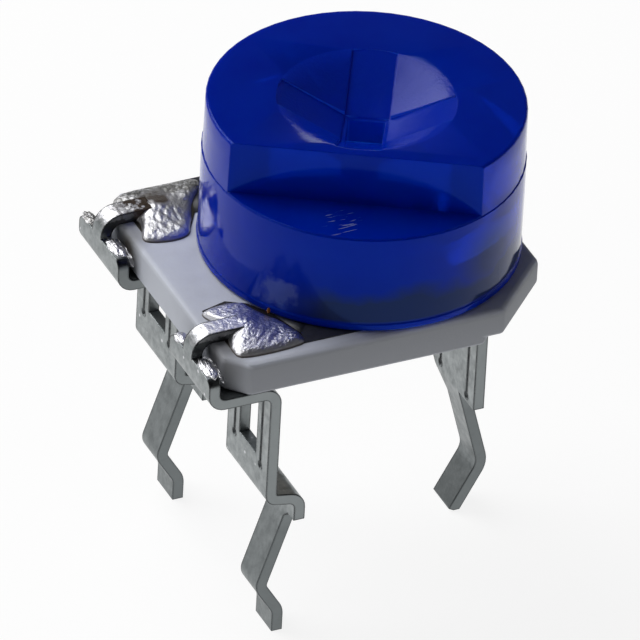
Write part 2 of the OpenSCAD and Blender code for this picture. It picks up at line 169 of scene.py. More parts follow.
def merged_copy(node, body, material, edge):
    """A copy of a CAD node with its triangles joined and its edges rounded by edge metres."""
    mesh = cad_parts[node].data.copy()
    mesh.name = node + "_finished"
    mesh.materials.clear()
    mesh.materials.append(material)
    form = bmesh.new()
    form.from_mesh(mesh)
    bmesh.ops.remove_doubles(form, verts=form.verts, dist=WELD)
    bmesh.ops.dissolve_limit(form, angle_limit=FLAT, use_dissolve_boundaries=False,
                             verts=form.verts, edges=form.edges)
    form.to_mesh(mesh)
    form.free()
    if "custom_normal" in mesh.attributes:
        mesh.attributes.remove(mesh.attributes["custom_normal"])
    mesh.polygons.foreach_set("use_smooth", np.ones(len(mesh.polygons), bool))
    mesh.set_sharp_from_angle(angle=CREASE)
    piece = bpy.data.objects.new(node + "_finished", mesh)
    bpy.context.scene.collection.objects.link(piece)
    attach(piece, body)
    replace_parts(piece, node)
    bevel = piece.modifiers.new("edge rounding", "BEVEL")
    bevel.width = edge
    bevel.segments = 2
    bevel.limit_method = "ANGLE"
    bevel.angle_limit = CREASE
    bevel.harden_normals = True
    bevel.use_clamp_overlap = True
    return piece


def wrinkles(x, y, size, seed):
    """Frozen wrinkles: the mean of eight folded sine waves |sin(k.p + phase)| in turned directions,
    each a quarter finer and a fifth weaker than the last and bent by another, less one half."""
    turns = np.random.default_rng(seed)
    step = np.arange(8)
    angle, phase = turns.uniform(0, 2 * np.pi, 8), turns.uniform(0, 2 * np.pi, 8)
    pitch, weight = size * 0.75 ** step, 0.8 ** step
    wave = np.cos(angle) * x[..., None] + np.sin(angle) * y[..., None]
    bend = 0.8 * np.sin(wave[..., ::-1] * 1.7 / pitch)
    folds = np.abs(np.sin(wave * np.pi / pitch + phase + bend))
    return (folds * weight).sum(-1) / weight.sum() - 0.5


def closed_curve(points, steps):
    """A closed curve through the points: each side is the cubic that passes its ends along the
    chords of their neighbours."""
    p = np.asarray(points, float)
    t = np.linspace(0, 1, steps, endpoint=False)[None, :, None]
    a, b, c, d = (np.roll(p, k, 0)[:, None, :] for k in (1, 0, -1, -2))
    square, cube = 2 * a - 5 * b + 4 * c - d, 3 * b - a - 3 * c + d
    return 0.5 * (2 * b + (c - a) * t + square * t ** 2 + cube * t ** 3).reshape(-1, 2)


def solder_pool(outline, tip, height, mound, seed):
    """A pool of solder inside a closed outline that keeps clear of the knob's turning rim: its
    height rises with the way e in from the edge as 1 - exp(-e / 0.09 mm), swells by a Gaussian
    mound at the finger's tip and carries coarse and fine wrinkles; its underside is flat."""
    edge = closed_curve(outline, 24)
    edge = edge * np.maximum(1, POOL_CLEAR / np.hypot(edge[:, 0], edge[:, 1]))[:, None]
    middle = edge.mean(0)
    share = np.sin(np.linspace(0, np.pi / 2, 64))[:, None, None]
    plan = middle + (edge - middle)[None] * share
    x, y = plan[..., 0], plan[..., 1]
    inward = (1 - share[..., 0]) * np.hypot(*(edge - middle).T)[None]
    rise = 1 - np.exp(-inward / 0.09)
    bulge = np.exp(-((x - tip[0]) ** 2 + (y - tip[1]) ** 2) / 0.42 ** 2)
    coarse, fine = 0.045 * wrinkles(x, y, 0.8, seed), 0.014 * wrinkles(x, y, 0.16, seed + 1)
    ground = PAD_LOW.z / MM
    top = np.dstack([x, y, ground + 0.015 + rise * (height + mound * bulge + coarse + fine)])
    base = np.dstack([x, y, np.full_like(x, ground)])[[-1, 0]]
    rings = np.concatenate([top, base])
    return rings * MM, grid_faces(len(rings), rings.shape[1], True)


def print_patch(corners, low, high):
    """A flat printed patch: a closed outline of corners, joined to its middle above and below."""
    edge = np.asarray(corners, float)
    heart = np.broadcast_to(edge.mean(0), edge.shape)
    stack = ((heart, high), (edge, high), (edge, low), (heart, low))
    rings = [np.column_stack([plan, np.full(len(plan), z)]) for plan, z in stack]
    return np.stack(rings) * MM, grid_faces(len(stack), len(edge), True)


def blob(centre, radii, seed, rough):
    """A lump: an ellipsoid over latitude v and longitude u whose radii are scaled by 1 + rough
    times wrinkles."""
    rows, cols = 33, 48
    v = np.linspace(-np.pi / 2, np.pi / 2, rows)[:, None]
    u = np.linspace(0, 2 * np.pi, cols, endpoint=False)[None, :]
    unit = np.dstack([np.cos(v) * np.cos(u), np.cos(v) * np.sin(u), np.sin(v) * np.ones_like(u)])
    across, along, up = unit[..., 0], unit[..., 1], unit[..., 2]
    scale = 1 + rough * wrinkles(across + 0.4 * up, along - 0.3 * up, 0.9, seed)
    points = np.asarray(centre) + unit * scale[..., None] * np.asarray(radii)
    return points * MM, grid_faces(rows, cols, True)


def clear_blue_plastic(colours):
    """Moulded polycarbonate dyed deep blue: polished and a little see-through, with a finely
    grained recess."""
    material, tree = blank_material("clear blue polycarbonate")
    place = add(tree, "ShaderNodeTexCoord").outputs["Object"]
    cloud = add(tree, "ShaderNodeTexNoise", {"Vector": place, "Scale": 0.9 / MM, "Detail": 3.0})
    tint = add(tree, "ShaderNodeMix", {"Factor": cloud, 6: colours.knob_deep,
                                       7: colours.knob_light}, data_type="RGBA")
    # The dark track and the hollow show through the skirt as a grey, cloudy band above the rim.
    high = add(tree, "ShaderNodeSeparateXYZ", {0: place})
    wavy = add(tree, "ShaderNodeMath", {0: cloud, 1: -1.1 * MM, 2: high.outputs["Z"]},
               operation="MULTIPLY_ADD")
    under = add(tree, "ShaderNodeMapRange", {"Value": wavy, "From Min": KNOB_LOW.z + 0.48 * MM,
                                             "From Max": KNOB_LOW.z + 0.08 * MM, "To Max": 0.9})
    above_rim = add(tree, "ShaderNodeMapRange", {"Value": high.outputs["Z"],
                                                 "From Min": KNOB_LOW.z + 0.12 * MM,
                                                 "From Max": KNOB_LOW.z + 0.2 * MM})
    # The track ends at the pads, so there is no grey on the side of the end terminals.
    tracked = add(tree, "ShaderNodeMapRange", {"Value": high.outputs["X"], "From Min": -2.75 * MM,
                                               "From Max": -2.0 * MM})
    lying = add(tree, "ShaderNodeMath", {0: under, 1: tracked}, operation="MULTIPLY")
    shown = add(tree, "ShaderNodeMath", {0: lying, 1: above_rim}, operation="MULTIPLY")
    # The same grey stands higher on the skirt where an arm of the wiper lies behind it.
    arm = add(tree, "ShaderNodeVectorMath", {0: place, 1: WIPER_ARM}, operation="DISTANCE")
    behind = add(tree, "ShaderNodeMapRange", {"Value": arm, "From Min": 1.15 * MM,
                                              "From Max": 0.35 * MM, "To Max": 0.8})
    hazy = add(tree, "ShaderNodeMath", {0: shown, 1: behind}, operation="MAXIMUM")
    shaded = add(tree, "ShaderNodeMix", {"Factor": hazy, 6: tint, 7: colours.knob_shade},
                 data_type="RGBA")
    # Painted reflection: a pale lavender patch of reflected light on the skirt above the front
    # solder joint.
    above = add(tree, "ShaderNodeVectorMath", {0: place, 1: SKIRT_REFLECTION}, operation="DISTANCE")
    curl = add(tree, "ShaderNodeTexNoise", {"Vector": place, "Scale": 3 / MM, "Detail": 3.0})
    ragged = add(tree, "ShaderNodeMath", {0: curl, 1: -0.8 * MM, 2: above},
                 operation="MULTIPLY_ADD")
    reflection_patch = add(tree, "ShaderNodeMapRange", {"Value": ragged, "From Min": 0.03 * MM,
                                             "From Max": -0.14 * MM, "To Max": 0.5})
    seen = add(tree, "ShaderNodeMix", {"Factor": reflection_patch, 6: shaded, 7: colours.knob_reflection},
               data_type="RGBA")
    # The recess is grained in the mould, so it has a soft sheen that the polished outside lacks.
    out = add(tree, "ShaderNodeVectorMath", {0: place, 1: (1, 1, 0)}, operation="MULTIPLY")
    reach = add(tree, "ShaderNodeVectorMath", {0: out}, operation="LENGTH")
    grained = add(tree, "ShaderNodeMapRange", {"Value": reach, "From Min": 1.88 * MM,
                                               "From Max": 1.84 * MM})
    # Drivers rubbed the slot and the sectors by the ledge smooth; the far sectors and the rim keep
    # the sheen.
    ahead = add(tree, "ShaderNodeVectorMath", {0: place, 1: FROM_LEDGE}, operation="DOT_PRODUCT")
    far = add(tree, "ShaderNodeMapRange", {"Value": ahead, "From Min": 0.42 * MM,
                                           "From Max": 0.48 * MM})
    rim = add(tree, "ShaderNodeMapRange", {"Value": reach, "From Min": 1.72 * MM,
                                           "From Max": 1.77 * MM})
    left = add(tree, "ShaderNodeMath", {0: far, 1: rim}, operation="MAXIMUM")
    matt = add(tree, "ShaderNodeMath", {0: left, 1: grained}, operation="MULTIPLY")
    sheen = add(tree, "ShaderNodeMix", {"Factor": matt, 6: colours.polish_tint,
                                        7: colours.grain_tint}, data_type="RGBA")
    rough = add(tree, "ShaderNodeMapRange", {"Value": grained, "To Min": 0.08, "To Max": 0.16})
    pale = add(tree, "ShaderNodeMix", {"Factor": grained, 6: seen, 7: colours.knob_recess},
               data_type="RGBA")
    # Light gathers in small steps of clear plastic, so the walls of the slot's arms are as light as
    # their floors.
    shape = add(tree, "ShaderNodeNewGeometry")
    face = add(tree, "ShaderNodeSeparateXYZ", {0: shape.outputs["True Normal"]})
    steep = add(tree, "ShaderNodeMapRange", {"Value": face.outputs["Z"], "From Min": 0.6,
                                             "From Max": 0.3})
    outside = add(tree, "ShaderNodeMapRange", {"Value": reach, "From Min": 0.5 * MM,
                                               "From Max": 0.6 * MM})
    walls = add(tree, "ShaderNodeMath", {0: steep, 1: outside}, operation="MULTIPLY")
    step = add(tree, "ShaderNodeMath", {0: walls, 1: grained}, operation="MULTIPLY")
    lit = add(tree, "ShaderNodeMix", {"Factor": step, 6: pale, 7: colours.knob_step},
              data_type="RGBA")
    marks = add(tree, "ShaderNodeTexNoise", {"Vector": place, "Scale": 18 / MM, "Detail": 2.0})
    depth = add(tree, "ShaderNodeMapRange", {"Value": grained, "To Min": 0.04, "To Max": 0.35})
    soft = add(tree, "ShaderNodeBevel", {"Radius": 0.04 * MM}, samples=4)
    bump = add(tree, "ShaderNodeBump", {"Height": marks, "Strength": depth, "Distance": 0.02 * MM,
                                        "Normal": soft})
    # A driver has slipped off the flat's ledge and left short pale scratches near its edge.
    turned = add(tree, "ShaderNodeMapping", {"Vector": place, "Rotation": (0, 0, math.radians(30)),
                                             "Scale": (1, 7, 7)})
    streak = add(tree, "ShaderNodeTexNoise", {"Vector": turned, "Scale": 2.5 / MM, "Detail": 4.0})
    apart = add(tree, "ShaderNodeVectorMath", {0: place, 1: SCRATCHED}, operation="DISTANCE")
    close = add(tree, "ShaderNodeMapRange", {"Value": apart, "From Min": 0.52 * MM,
                                             "From Max": 0.4 * MM})
    line = add(tree, "ShaderNodeMapRange", {"Value": streak, "From Min": 0.59, "From Max": 0.66})
    scratch = add(tree, "ShaderNodeMath", {0: line, 1: close}, operation="MULTIPLY")
    worn = add(tree, "ShaderNodeMix", {"Factor": scratch, 6: lit, 7: colours.knob_scratch},
               data_type="RGBA")
    body = add(tree, "ShaderNodeBsdfPrincipled", {
        "Base Color": worn, "Roughness": rough, "IOR": 1.58, "Specular IOR Level": 0.08,
        "Specular Tint": sheen, "Transmission Weight": 0.42, "Subsurface Weight": 0.3,
        "Subsurface Radius": (0.2, 0.4, 1.0), "Subsurface Scale": 0.6 * MM, "Normal": bump})
    add(tree, "ShaderNodeOutputMaterial", {"Surface": body})
    return material


def fired_alumina(colours):
    """Unglazed alumina: off-white and dull, with a fine grain; its cut sides are painted darker
    grey as shade.
    """
    material, tree = blank_material("fired alumina")
    place = add(tree, "ShaderNodeTexCoord").outputs["Object"]
    stain = add(tree, "ShaderNodeTexNoise", {"Vector": place, "Scale": 0.8 / MM, "Detail": 5.0})
    ramp = add(tree, "ShaderNodeValToRGB", {"Fac": stain})
    ramp.color_ramp.elements[0].position = 0.3
    ramp.color_ramp.elements[0].color = colours.ceramic_stain
    ramp.color_ramp.elements[1].position = 0.62
    ramp.color_ramp.elements[1].color = colours.ceramic
    # Painted shade: the more a face turns sideways, the more it takes the darker side colour.
    shape = add(tree, "ShaderNodeNewGeometry")
    face = add(tree, "ShaderNodeSeparateXYZ", {0: shape.outputs["Normal"]})
    side = add(tree, "ShaderNodeMapRange", {"Value": face.outputs["Z"], "From Min": 0.75,
                                            "From Max": 0.2})
    # Painted shade: the sides are darker grey, half as much on the side behind the two end
    # terminals.
    less_shaded = add(tree, "ShaderNodeMapRange", {"Value": face.outputs["X"], "From Min": -0.72,
                                             "From Max": -0.95, "To Min": 1.0, "To Max": 0.5})
    side_shade = add(tree, "ShaderNodeMath", {0: side, 1: less_shaded}, operation="MULTIPLY")
    tone = add(tree, "ShaderNodeMix", {"Factor": side_shade, 6: ramp, 7: colours.ceramic_side_shade},
               data_type="RGBA")
    # A brown flux halo and a painted contact shadow darken the plate's side beside each folded
    # wall.
    rear = add(tree, "ShaderNodeVectorMath", {0: place, 1: REAR_HALO_SHADOW}, operation="DISTANCE")
    front = add(tree, "ShaderNodeVectorMath", {0: place, 1: FRONT_HALO_SHADOW}, operation="DISTANCE")
    nearer = add(tree, "ShaderNodeMath", {0: rear, 1: front}, operation="MINIMUM")
    fade = add(tree, "ShaderNodeMapRange", {"Value": nearer, "From Min": 0.7 * MM,
                                            "From Max": 0.1 * MM, "To Max": 1.9})
    halo_and_shadow = add(tree, "ShaderNodeMath", {0: fade, 1: stain}, operation="MULTIPLY", use_clamp=True)
    haloed_and_shaded = add(tree, "ShaderNodeMix", {"Factor": halo_and_shadow, 6: tone, 7: colours.ceramic_halo_and_shadow},
                data_type="RGBA")
    grain = add(tree, "ShaderNodeTexNoise", {"Vector": place, "Scale": 14 / MM, "Detail": 3.0})
    bump = add(tree, "ShaderNodeBump", {"Height": grain, "Strength": 0.35, "Distance": 0.01 * MM})
    body = add(tree, "ShaderNodeBsdfPrincipled", {
        "Base Color": haloed_and_shaded, "Roughness": 0.7, "IOR": 1.76, "Normal": bump})
    add(tree, "ShaderNodeOutputMaterial", {"Surface": body})
    return material


def resistor_paste(colours):
    """Fired resistor paste: a black glassy print with a matte, slightly pitted skin."""
    material, tree = blank_material("fired resistor paste")
    place = add(tree, "ShaderNodeTexCoord").outputs["Object"]
    grain = add(tree, "ShaderNodeTexNoise", {"Vector": place, "Scale": 12 / MM, "Detail": 3.0})
    ramp = add(tree, "ShaderNodeValToRGB", {"Fac": grain})
    ramp.color_ramp.elements[0].color = colours.track_dark
    ramp.color_ramp.elements[1].color = colours.track
    bump = add(tree, "ShaderNodeBump", {"Height": grain, "Strength": 0.3, "Distance": 0.01 * MM})
    body = add(tree, "ShaderNodeBsdfPrincipled", {
        "Base Color": ramp, "Roughness": 0.42, "Normal": bump})
    add(tree, "ShaderNodeOutputMaterial", {"Surface": body})
    return material


def silver_paste(colours):
    """Fired silver conductor: a thin satin metal print, darkened by flux beside the solder."""
    material, tree = blank_material("fired silver paste")
    place = add(tree, "ShaderNodeTexCoord").outputs["Object"]
    grain = add(tree, "ShaderNodeTexNoise", {"Vector": place, "Scale": 10 / MM, "Detail": 2.0})
    ramp = add(tree, "ShaderNodeValToRGB", {"Fac": grain})
    ramp.color_ramp.elements[0].color = colours.silver_dark
    ramp.color_ramp.elements[1].color = colours.silver
    body = add(tree, "ShaderNodeBsdfPrincipled", {
        "Base Color": ramp, "Metallic": 1.0, "Roughness": 0.45})
    add(tree, "ShaderNodeOutputMaterial", {"Surface": body})
    return material


def tinned_steel(colours):
    """Stamped steel strip with a dull, mottled tin coat, darker sheared edges and darker leads."""
    material, tree = blank_material("tinned steel strip")
    place = add(tree, "ShaderNodeTexCoord").outputs["Object"]
    cloud = add(tree, "ShaderNodeTexNoise", {"Vector": place, "Scale": 4.5 / MM, "Detail": 7.0,
                                             "Roughness": 0.65})
    ramp = add(tree, "ShaderNodeValToRGB", {"Fac": cloud})
    ramp.color_ramp.elements[0].position = 0.3
    ramp.color_ramp.elements[0].color = colours.tin_dark
    ramp.color_ramp.elements[1].position = 0.7
    ramp.color_ramp.elements[1].color = colours.tin
    soft = add(tree, "ShaderNodeBevel", {"Radius": 0.045 * MM}, samples=6)
    face = add(tree, "ShaderNodeSeparateXYZ", {0: soft})
    across = add(tree, "ShaderNodeMath", {0: face.outputs["Y"]}, operation="ABSOLUTE")
    sheared = add(tree, "ShaderNodeMapRange", {"Value": across, "From Min": 0.6, "From Max": 0.9})
    tone = add(tree, "ShaderNodeMix", {"Factor": sheared, 6: ramp, 7: colours.steel_edge},
               data_type="RGBA")
    # Dirt sits unevenly in the thin line where the sheared edge meets the rolled face.
    wide = add(tree, "ShaderNodeBevel", {"Radius": 0.075 * MM}, samples=8)
    turn = add(tree, "ShaderNodeSeparateXYZ", {0: wide})
    slant = add(tree, "ShaderNodeMath", {0: turn.outputs["Y"]}, operation="ABSOLUTE")
    off = add(tree, "ShaderNodeMath", {0: slant, 1: 0.55}, operation="SUBTRACT")
    gap = add(tree, "ShaderNodeMath", {0: off}, operation="ABSOLUTE")
    line = add(tree, "ShaderNodeMapRange", {"Value": gap, "From Min": 0.43, "From Max": 0.3})
    held = add(tree, "ShaderNodeMapRange", {"Value": cloud, "From Min": 0.3, "From Max": 0.6,
                                            "To Min": 0.5, "To Max": 0.95})
    kept = add(tree, "ShaderNodeMath", {0: line, 1: held}, operation="MULTIPLY")
    high = add(tree, "ShaderNodeSeparateXYZ", {0: place})
    # Burnt flux and painted shade darken the sheared sides of the fingers.
    finger = add(tree, "ShaderNodeMapRange", {"Value": high.outputs["Z"], "From Min": 3.95 * MM,
                                              "From Max": 4.1 * MM})
    flux_and_shade = add(tree, "ShaderNodeMath", {0: finger, 1: sheared}, operation="MULTIPLY")
    dirt_and_shade = add(tree, "ShaderNodeMath", {0: flux_and_shade, 1: 0.75, 2: kept}, operation="MULTIPLY_ADD",
                use_clamp=True)
    lined = add(tree, "ShaderNodeMix", {"Factor": dirt_and_shade, 6: tone, 7: colours.edge_dirt_and_shade},
                data_type="RGBA")
    # The bare leads below the board's plane are darker than the broad legs.
    lower = add(tree, "ShaderNodeMapRange", {"Value": high.outputs["Z"], "From Min": 0.2 * MM,
                                             "From Max": -0.5 * MM, "To Max": 0.5})
    lead_tone = add(tree, "ShaderNodeMix", {"Factor": lower, 6: lined, 7: colours.lead_darker},
                    data_type="RGBA")
    # Solder has run up to the crowns of the fingers' bends.
    uneven = add(tree, "ShaderNodeMath", {0: cloud, 1: 0.5 * MM, 2: high.outputs["Z"]},
                 operation="MULTIPLY_ADD")
    soaked = add(tree, "ShaderNodeMapRange", {"Value": uneven, "From Min": 4.4 * MM,
                                              "From Max": 4.6 * MM})
    wetted = add(tree, "ShaderNodeMath", {0: soaked, 1: dirt_and_shade}, operation="SUBTRACT",
                 use_clamp=True)
    wet_tone = add(tree, "ShaderNodeMix", {"Factor": wetted, 6: lead_tone, 7: colours.solder},
                   data_type="RGBA")
    # Flux has burnt onto the rear finger in a crust with dark veins.
    spot = add(tree, "ShaderNodeVectorMath", {0: place, 1: BURNT_FINGER}, operation="DISTANCE")
    near = add(tree, "ShaderNodeMapRange", {"Value": spot, "From Min": 0.95 * MM,
                                            "From Max": 0.2 * MM})
    crust = add(tree, "ShaderNodeTexNoise", {"Vector": place, "Scale": 4 / MM, "Detail": 5.0})
    patch = add(tree, "ShaderNodeMath", {0: near, 1: crust}, operation="MULTIPLY")
    vein = add(tree, "ShaderNodeMath", {0: crust, 1: 0.5}, operation="SUBTRACT")
    thin = add(tree, "ShaderNodeMath", {0: vein}, operation="ABSOLUTE")
    dark = add(tree, "ShaderNodeMapRange", {"Value": thin, "From Min": 0.07, "From Max": 0.03})
    around = add(tree, "ShaderNodeMath", {0: dark, 1: near}, operation="MULTIPLY")
    burnt = add(tree, "ShaderNodeMapRange", {"Value": patch, "From Min": 0.36, "From Max": 0.46})
    flux = add(tree, "ShaderNodeMath", {0: burnt, 1: around}, operation="ADD", use_clamp=True)
    stained = add(tree, "ShaderNodeMix", {"Factor": flux, 6: wet_tone, 7: colours.flux_stain_and_shadow},
                  data_type="RGBA")
    # Tiny drops of solder have spattered onto the legs.
    drops = add(tree, "ShaderNodeTexVoronoi", {"Vector": place, "Scale": 2.4 / MM})
    speck = add(tree, "ShaderNodeMapRange", {"Value": drops, "From Min": 0.11, "From Max": 0.06})
    rolled = add(tree, "ShaderNodeMapRange", {"Value": slant, "From Min": 0.1, "From Max": 0.0})
    broad = add(tree, "ShaderNodeMath", {0: speck, 1: rolled}, operation="MULTIPLY")
    legs = add(tree, "ShaderNodeMapRange", {"Value": high.outputs["Z"], "From Min": 0.6 * MM,
                                            "From Max": 0.9 * MM, "To Max": 0.8})
    splash = add(tree, "ShaderNodeMath", {0: broad, 1: legs}, operation="MULTIPLY")
    spattered = add(tree, "ShaderNodeMix", {"Factor": splash, 6: stained, 7: colours.solder},
                    data_type="RGBA")
    bare = add(tree, "ShaderNodeMapRange", {"Value": flux, "To Min": 1.0, "To Max": 0.2})
    rough = add(tree, "ShaderNodeMapRange", {"Value": cloud, "From Min": 0.3, "From Max": 0.7,
                                             "To Min": 0.46, "To Max": 0.34})
    fine = add(tree, "ShaderNodeTexNoise", {"Vector": place, "Scale": 9 / MM, "Detail": 4.0})
    depth = add(tree, "ShaderNodeMapRange", {"Value": wetted, "To Min": 0.12, "To Max": 0.6})
    bump = add(tree, "ShaderNodeBump", {"Height": fine, "Strength": depth, "Distance": 0.05 * MM,
                                        "Normal": soft})
    body = add(tree, "ShaderNodeBsdfPrincipled", {
        "Base Color": spattered, "Metallic": bare, "Roughness": rough, "Normal": bump})
    add(tree, "ShaderNodeOutputMaterial", {"Surface": body})
    return material


def bright_solder(colours):
    """Hand-fed tin-lead solder: bright, frozen in small wrinkles, with brown flux burnt on beside
    the rear finger."""
    material, tree = blank_material("bright solder")
    place = add(tree, "ShaderNodeTexCoord").outputs["Object"]
    cloud = add(tree, "ShaderNodeTexNoise", {"Vector": place, "Scale": 2.5 / MM, "Detail": 6.0})
    fine = add(tree, "ShaderNodeTexNoise", {"Vector": place, "Scale": 9 / MM, "Detail": 5.0,
                                            "Roughness": 0.65})
    spot = add(tree, "ShaderNodeVectorMath", {0: place, 1: BURNT_POOL}, operation="DISTANCE")
    near = add(tree, "ShaderNodeMapRange", {"Value": spot, "From Min": 0.5 * MM,
                                            "From Max": 0.1 * MM})
    patch = add(tree, "ShaderNodeMath", {0: near, 1: cloud}, operation="MULTIPLY")
    flux = add(tree, "ShaderNodeMapRange", {"Value": patch, "From Min": 0.12, "From Max": 0.3})
    # Painted shadow: a thin dark line round the foot of each pool, where it meets the pad.
    high = add(tree, "ShaderNodeSeparateXYZ", {0: place})
    over = add(tree, "ShaderNodeMath", {0: high.outputs["Z"], 1: PAD_LOW.z}, operation="SUBTRACT")
    level = add(tree, "ShaderNodeMath", {0: over}, operation="ABSOLUTE")
    foot_shadow = add(tree, "ShaderNodeMapRange", {"Value": level, "From Min": 0.05 * MM,
                                            "From Max": 0.025 * MM, "To Max": 0.9})
    stain = add(tree, "ShaderNodeMath", {0: flux, 1: foot_shadow}, operation="MAXIMUM")
    tint = add(tree, "ShaderNodeMix", {"Factor": stain, 6: colours.solder, 7: colours.flux_stain_and_shadow},
               data_type="RGBA")
    # Spent flux has dulled the far side of the rear pool in fine mottles.
    back = add(tree, "ShaderNodeMapRange", {"Value": high.outputs["Y"], "From Min": 2.45 * MM,
                                            "From Max": 2.75 * MM})
    crust = add(tree, "ShaderNodeMath", {0: back, 1: fine}, operation="MULTIPLY")
    mottle = add(tree, "ShaderNodeMapRange", {"Value": crust, "From Min": 0.35, "From Max": 0.55,
                                              "To Max": 0.9})
    dulled = add(tree, "ShaderNodeMix", {"Factor": mottle, 6: tint, 7: colours.solder_dull},
                 data_type="RGBA")
    metal = add(tree, "ShaderNodeMapRange", {"Value": stain, "To Min": 1.0, "To Max": 0.1})
    bump = add(tree, "ShaderNodeBump", {"Height": fine, "Strength": 0.8, "Distance": 0.035 * MM})
    body = add(tree, "ShaderNodeBsdfPrincipled", {
        "Base Color": dulled, "Metallic": metal, "Roughness": 0.3, "Normal": bump})
    add(tree, "ShaderNodeOutputMaterial", {"Surface": body})
    return material


def amber_flux(colours):
    """Rosin flux: a clear glossy amber bead left by soldering."""
    material, tree = blank_material("amber rosin flux")
    place = add(tree, "ShaderNodeTexCoord").outputs["Object"]
    cloud = add(tree, "ShaderNodeTexNoise", {"Vector": place, "Scale": 12 / MM, "Detail": 2.0})
    tint = add(tree, "ShaderNodeMix", {"Factor": cloud, 6: colours.flux_dark, 7: colours.flux},
               data_type="RGBA")
    body = add(tree, "ShaderNodeBsdfPrincipled", {
        "Base Color": tint, "Roughness": 0.15, "IOR": 1.53, "Transmission Weight": 0.2})
    add(tree, "ShaderNodeOutputMaterial", {"Surface": body})
    return material


def rolled_brass(colours):
    """Rolled brass of the rivet and the spring: warm, satin, with fine streaks."""
    material, tree = blank_material("rolled brass")
    place = add(tree, "ShaderNodeTexCoord").outputs["Object"]
    streak = add(tree, "ShaderNodeTexNoise", {"Vector": place, "Scale": 6 / MM, "Detail": 3.0})
    ramp = add(tree, "ShaderNodeValToRGB", {"Fac": streak})
    ramp.color_ramp.elements[0].color = colours.brass_dark
    ramp.color_ramp.elements[1].color = colours.brass
    body = add(tree, "ShaderNodeBsdfPrincipled", {
        "Base Color": ramp, "Metallic": 1.0, "Roughness": 0.3})
    add(tree, "ShaderNodeOutputMaterial", {"Surface": body})
    return material


def studio_paper(shade):
    """Plain matte white paper for the floor, lit through from below like a light table."""
    material, tree = blank_material("studio paper")
    body = add(tree, "ShaderNodeBsdfPrincipled", {
        "Base Color": shade, "Roughness": 0.9, "Emission Color": linear("#FFFFFF"),
        "Emission Strength": 0.86})
    add(tree, "ShaderNodeOutputMaterial", {"Surface": body})
    return material


def hue(name, description, code):
    """A colour setting whose default is an sRGB hex colour."""
    return FloatVectorProperty(name=name, description=description, default=linear(code), size=4,
                               subtype="COLOR", min=0, max=1)


class TrimmerSizes(bpy.types.PropertyGroup):
    plate_round: FloatProperty(name="Plate edge", description="Rounding of the plate's edges",
                               default=0.13 * MM, min=0, unit="LENGTH")
    sheet_round: FloatProperty(name="Sheet edge", description="Rounding of the cut edges",
                               default=0.045 * MM, min=0, unit="LENGTH")
    knob_round: FloatProperty(name="Knob edge", description="Rounding of the knob's moulded edges",
                              default=0.035 * MM, min=0, unit="LENGTH")
    rivet_round: FloatProperty(name="Rivet edge", description="Rounding of the rivet's edges",
                               default=0.02 * MM, min=0, unit="LENGTH")


class TrimmerColours(bpy.types.PropertyGroup):
    knob_deep: hue("Knob, deep", "Darker blue of the knob", "#0022B6")
    knob_light: hue("Knob, light", "Lighter blue of the knob", "#0034CC")
    knob_shade: hue("Knob, skirt", "What shows through the skirt", "#2E3A54")
    knob_recess: hue("Knob, recess", "Grained recess", "#0234D4")
    knob_scratch: hue("Scratches", "Scratches on the ledge", "#8C96D2")
    knob_step: hue("Knob, steps", "Walls of the slot's arms", "#3C6CFF")
    # Colour of the painted reflection on the skirt.
    knob_reflection: hue("Skirt reflection", "Painted reflection on the skirt", "#7080C8")
    polish_tint: hue("Polish", "Tint of the polished face's reflections", "#4A8CFF")
    grain_tint: hue("Grain", "Tint of the grained recess's sheen", "#C4CCF0")
    ceramic: hue("Ceramic", "Clean ceramic", "#D3D8E4")
    ceramic_stain: hue("Ceramic stain", "Handling marks", "#C2C6D2")
    # Colour of the painted shade on the plate's sides.
    ceramic_side_shade: hue("Ceramic sides", "Painted shade on the plate's cut sides", "#90939A")
    # Colour of the flux halo and the painted contact shadow beside the walls.
    ceramic_halo_and_shadow: hue("Ceramic halo and shadow", "Flux halo and painted shadow by the walls", "#3E3A34")
    track: hue("Track", "Resistor print", "#3A3C46")
    track_dark: hue("Track, dark", "Darker grain of the resistor print", "#1B1C22")
    silver: hue("Silver", "Conductor print", "#5A5650")
    silver_dark: hue("Silver, dark", "Conductor print darkened by flux", "#2A2723")
    tin: hue("Tin", "Tin coat", "#9EA3A4")
    tin_dark: hue("Tin, dull", "Dull patches of the tin coat", "#7B8081")
    steel_edge: hue("Sheared edge", "Cut edges of the strip", "#858A8B")
    lead_darker: hue("Leads", "Darker tone of the leads below the board", "#5D6263")
    # Dirt along the cut edges, and painted shade on the fingers' sheared sides.
    edge_dirt_and_shade: hue("Edge dirt and shade", "Dirt on cut edges, painted shade on fingers", "#1C1D20")
    solder: hue("Solder", "Bright solder", "#E6E6EA")
    solder_dull: hue("Dull solder", "Solder under spent flux", "#8E8D8A")
    # Burnt flux colour, also used for the painted shadow round the foot of each pool.
    flux_stain_and_shadow: hue("Flux stain and shadow", "Flux burnt onto the solder, painted shadow at pool feet", "#3A2A1C")
    flux: hue("Flux bead", "Clear bead of flux", "#A8641E")
    flux_dark: hue("Flux bead, deep", "Thicker parts of the flux bead", "#4A2A10")
    brass: hue("Brass", "Rivet and spring", "#C9A55A")
    brass_dark: hue("Brass, dull", "Darker streaks of the brass", "#8E7440")


